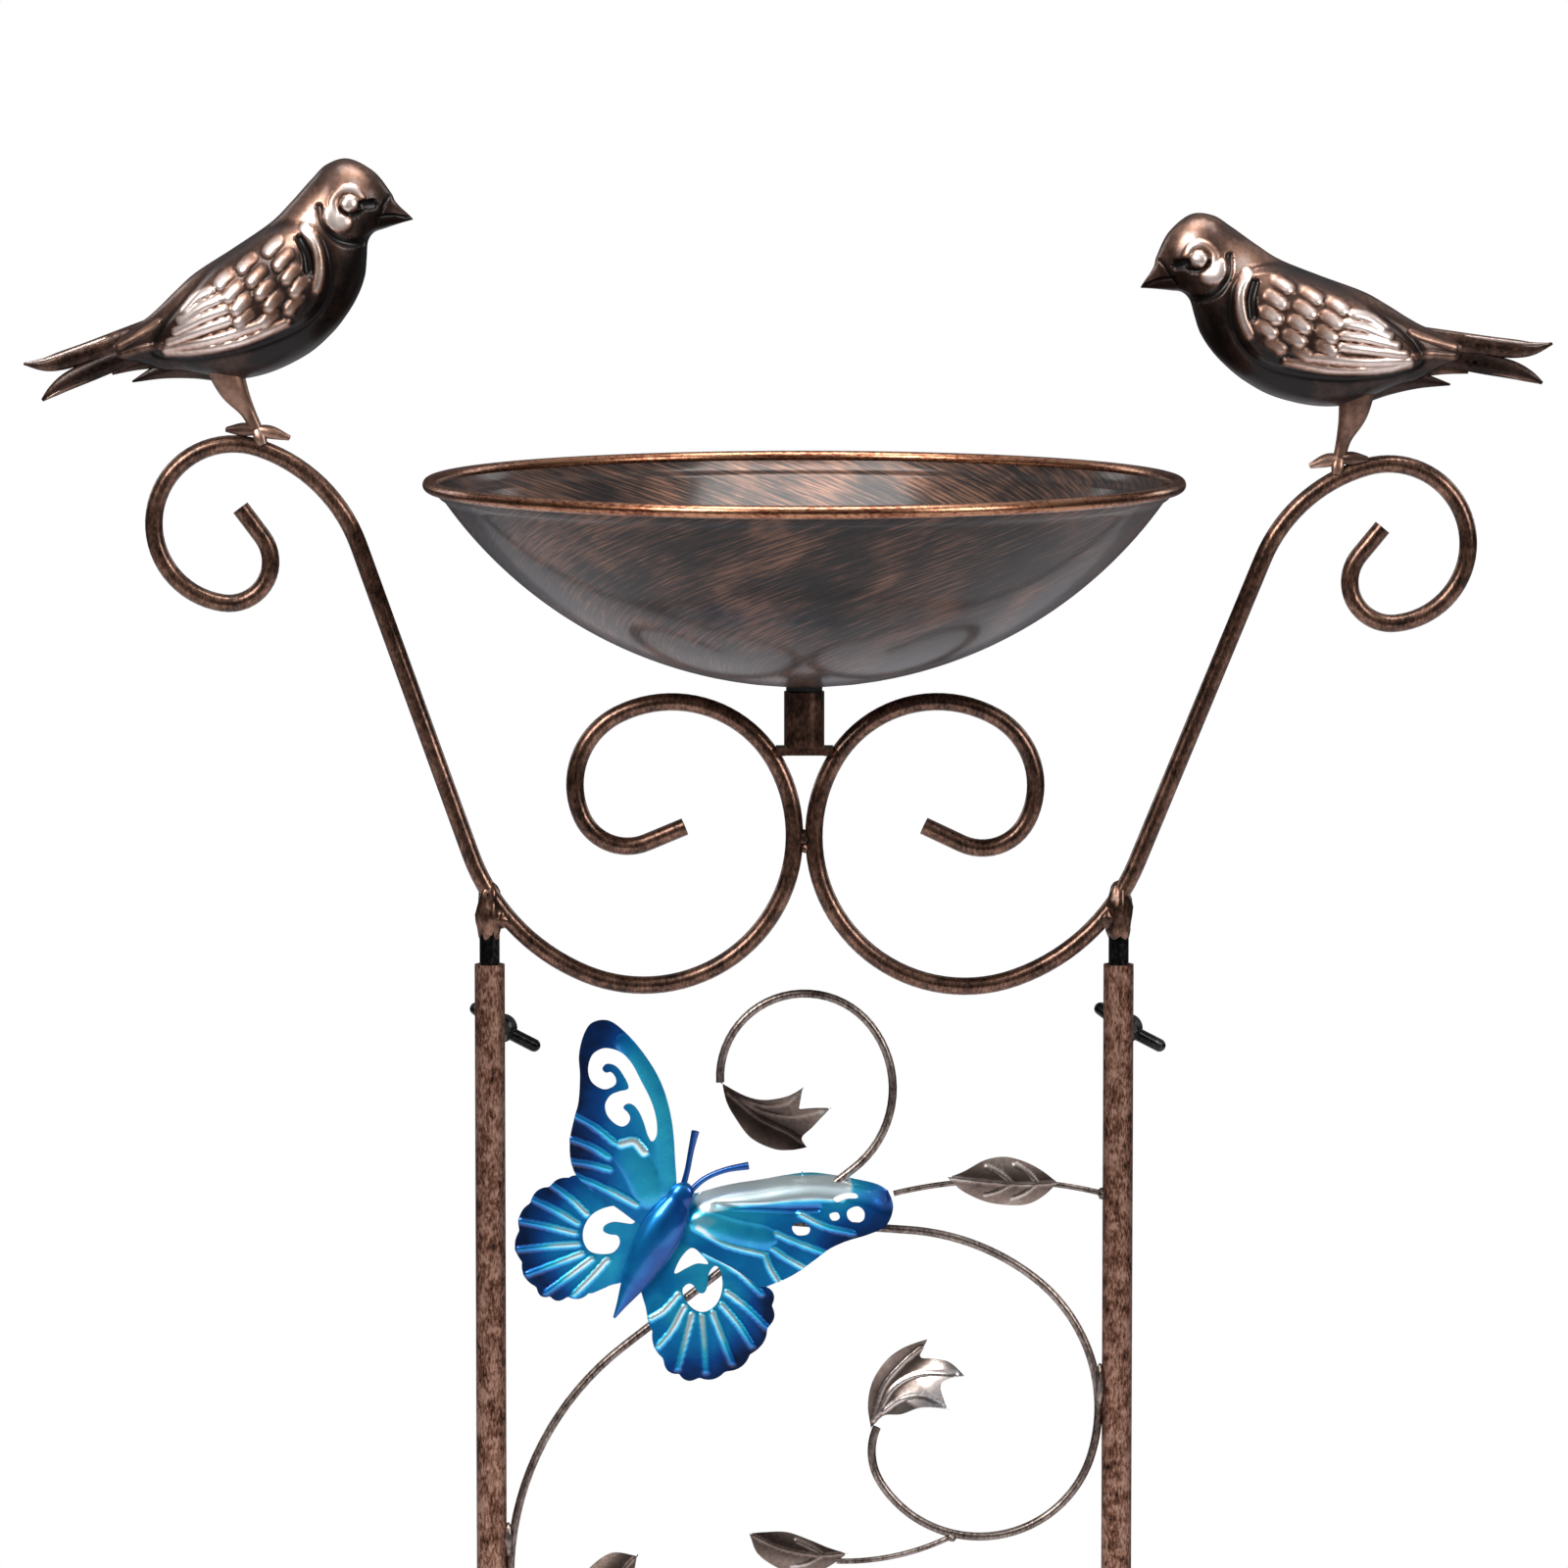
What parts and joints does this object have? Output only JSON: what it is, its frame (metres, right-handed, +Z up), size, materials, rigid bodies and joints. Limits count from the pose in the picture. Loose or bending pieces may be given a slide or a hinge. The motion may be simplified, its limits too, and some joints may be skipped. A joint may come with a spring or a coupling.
{
  "type": "bird bath",
  "caption": "Garden bird bath: a shallow metal bowl on two scrolled arms with perched birds, over a post trellis with vines, leaves and a butterfly, on push-in ground stakes.",
  "frame": {"origin": "soil line, midway between the two posts, at the underside of the step bar", "axes": "+Z up along the posts, +X to the right seen from the front, and the trellis faces -Y"},
  "size_m": [0.6027, 0.3016, 1.0347],
  "materials": {
    "basin_paint": "dark brown paint brushed with copper, glossy",
    "arm_paint": "dark brown paint rubbed with copper, satin",
    "post_paint": "dark brown paint sponged with copper, satin",
    "vine_paint": "grey brown metallic paint, satin",
    "leaf_paint": "grey brown metallic paint, satin",
    "bird_paint": "bronze paint with dark recesses",
    "butterfly_blue": "translucent blue lacquer over bright metal, glossy",
    "black_steel": "black oxide, semi-gloss",
    "washer_rubber": "matt black"
  },
  "bodies": {
    "ground_stakes": {"left_stake": "black_steel", "right_stake": "black_steel", "step_bar": "black_steel"},
    "trellis": {"left_post": "post_paint", "right_post": "post_paint", "left_upper_nut": "black_steel", "left_lower_nut": "black_steel", "right_upper_nut": "black_steel", "right_lower_nut": "black_steel", "bottom_rail": "vine_paint", "long_vine": "vine_paint", "right_vine": "vine_paint", "low_vine": "vine_paint", "side_twig": "vine_paint", "low_twig": "vine_paint", "left_twig": "vine_paint", "tulip_leaf": "leaf_paint", "curled_leaf": "leaf_paint", "side_leaf": "leaf_paint", "low_leaf": "leaf_paint", "left_leaf": "leaf_paint", "foot_leaf": "leaf_paint", "butterfly_left_wings": "butterfly_blue", "butterfly_right_wings": "butterfly_blue", "butterfly_body": "butterfly_blue", "butterfly_feelers": "butterfly_blue"},
    "top_frame": {"left_scroll_arm": "arm_paint", "right_scroll_arm": "arm_paint", "left_spigot": "black_steel", "right_spigot": "black_steel", "bowl_socket": "arm_paint", "socket_strap": "arm_paint", "left_bird_front_shell": "bird_paint", "left_bird_rear_shell": "bird_paint", "left_bird_legs": "bird_paint", "right_bird_front_shell": "bird_paint", "right_bird_rear_shell": "bird_paint", "right_bird_legs": "bird_paint"},
    "stem_washer": {"stem_washer": "washer_rubber"},
    "bowl": {"basin": "basin_paint", "bowl_stem": "black_steel"},
    "left_upper_screw": {"left_upper_wing_screw": "black_steel"},
    "left_lower_screw": {"left_lower_wing_screw": "black_steel"},
    "right_upper_screw": {"right_upper_wing_screw": "black_steel"},
    "right_lower_screw": {"right_lower_wing_screw": "black_steel"}
  },
  "joints": [
    {"name": "trellis_lift", "type": "slide", "parent": "ground_stakes", "child": "trellis", "axis": [0, 0, 1], "range_m": [0, 0.064]},
    {"name": "top_lift", "type": "slide", "parent": "trellis", "child": "top_frame", "axis": [0, 0, 1], "range_m": [-0.006, 0.064]},
    {"name": "bowl_lift", "type": "slide", "parent": "top_frame", "child": "stem_washer", "axis": [0, 0, 1], "range_m": [0, 0.026]},
    {"name": "bowl_spin", "type": "hinge", "parent": "stem_washer", "child": "bowl", "pos_m": [0, 0, 0.647], "axis": [0, 0, 1], "continuous": true},
    {"name": "left_upper_screw_turn", "type": "hinge", "parent": "trellis", "child": "left_upper_screw", "pos_m": [-0.125, 0, 0.507], "axis": [0.2588, 0.9659, 0], "continuous": true},
    {"name": "left_lower_screw_turn", "type": "hinge", "parent": "trellis", "child": "left_lower_screw", "pos_m": [-0.125, 0, 0.032], "axis": [0.2588, 0.9659, 0], "continuous": true},
    {"name": "right_upper_screw_turn", "type": "hinge", "parent": "trellis", "child": "right_upper_screw", "pos_m": [0.125, 0, 0.507], "axis": [0.2588, 0.9659, 0], "continuous": true},
    {"name": "right_lower_screw_turn", "type": "hinge", "parent": "trellis", "child": "right_lower_screw", "pos_m": [0.125, 0, 0.032], "axis": [0.2588, 0.9659, 0], "continuous": true}
  ]
}
